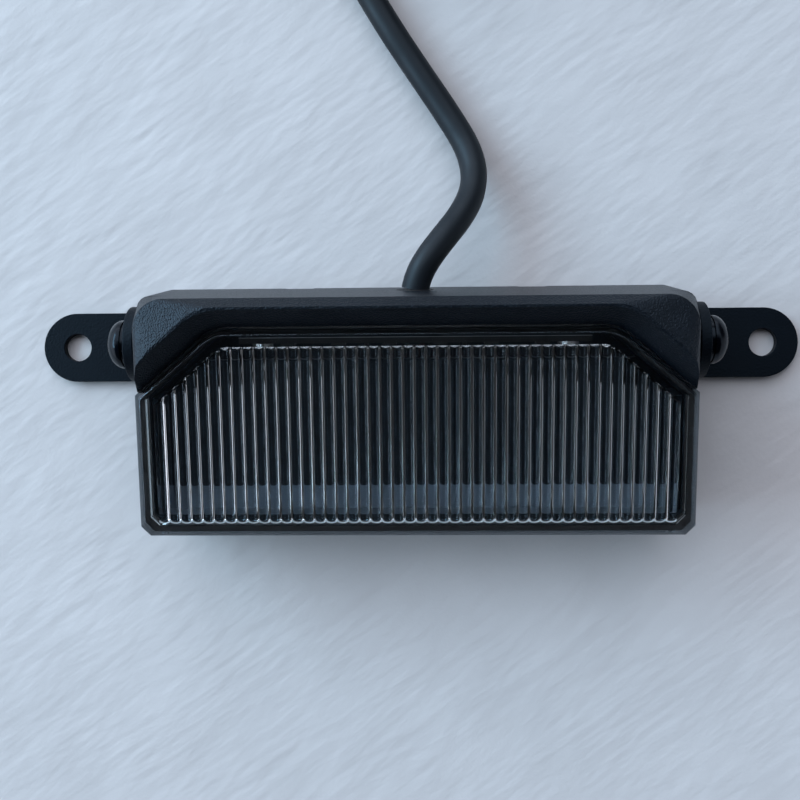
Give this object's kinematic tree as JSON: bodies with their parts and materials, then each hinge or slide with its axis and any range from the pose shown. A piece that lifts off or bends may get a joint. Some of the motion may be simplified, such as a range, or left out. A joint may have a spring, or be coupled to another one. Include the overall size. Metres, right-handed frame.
{
  "type": "reverse light",
  "caption": "Rectangular vehicle reversing lamp: black die-cast body with a brow over a clear fluted lens, folded brackets that turn on side screws, and a round lead.",
  "frame": {"origin": "midway between the two mounting holes, on the underside of the ears", "axes": "+X along the lamp, +Y towards the side where the lead leaves, +Z away from the mounting surface"},
  "size_m": [0.1794, 0.221, 0.0386],
  "materials": {
    "body_black": "textured black coat",
    "bracket_black": "fine textured black coat",
    "screw_black": "gloss black coat",
    "washer_black": "satin black coat",
    "lens_clear": "clear, polished",
    "seal_black": "matte",
    "reflector_dark": "dark mirror gloss",
    "pad_grey": "matte",
    "board_black": "satin",
    "board_green": "satin",
    "led_yellow": "gloss",
    "steel": "plain",
    "chip_black": "matte",
    "capacitor_tan": "matte",
    "cable_black": "matte",
    "core_red": "satin",
    "core_dark": "satin",
    "tie_black": "satin"
  },
  "bodies": {
    "lamp": {"housing": "body_black", "lens": "lens_clear", "lens_seal": "seal_black", "reflector": "reflector_dark", "thermal_pad": "pad_grey", "led_board": "board_black", "leds": "led_yellow", "led_board_screws": "steel", "driver_board": "board_green", "driver_chip": "chip_black", "inductor": "chip_black", "capacitors": "capacitor_tan", "driver_screws": "steel", "led_lead_plus": "core_dark", "led_lead_minus": "core_dark", "supply_lead_plus": "core_red", "supply_lead_minus": "core_dark", "cable_seal": "seal_black", "cable_inside": "cable_black", "pivot_screw_left": "screw_black", "pivot_screw_right": "screw_black", "spring_washer_left": "washer_black", "spring_washer_right": "washer_black", "cable": "cable_black", "cable_coil": "cable_black", "coil_tie": "tie_black", "cable_end": "cable_black", "core_plus": "core_red", "core_minus": "core_dark"},
    "left_bracket": {"bracket_left": "bracket_black"},
    "right_bracket": {"bracket_right": "bracket_black"}
  },
  "joints": [
    {"name": "left_bracket_turn", "type": "hinge", "parent": "lamp", "child": "left_bracket", "pos_m": [-0.0609, 0, 0.0217], "axis": [1, 0, 0], "continuous": true},
    {"name": "right_bracket_turn", "type": "hinge", "parent": "lamp", "child": "right_bracket", "pos_m": [0.0609, 0, 0.0217], "axis": [1, 0, 0], "continuous": true}
  ]
}
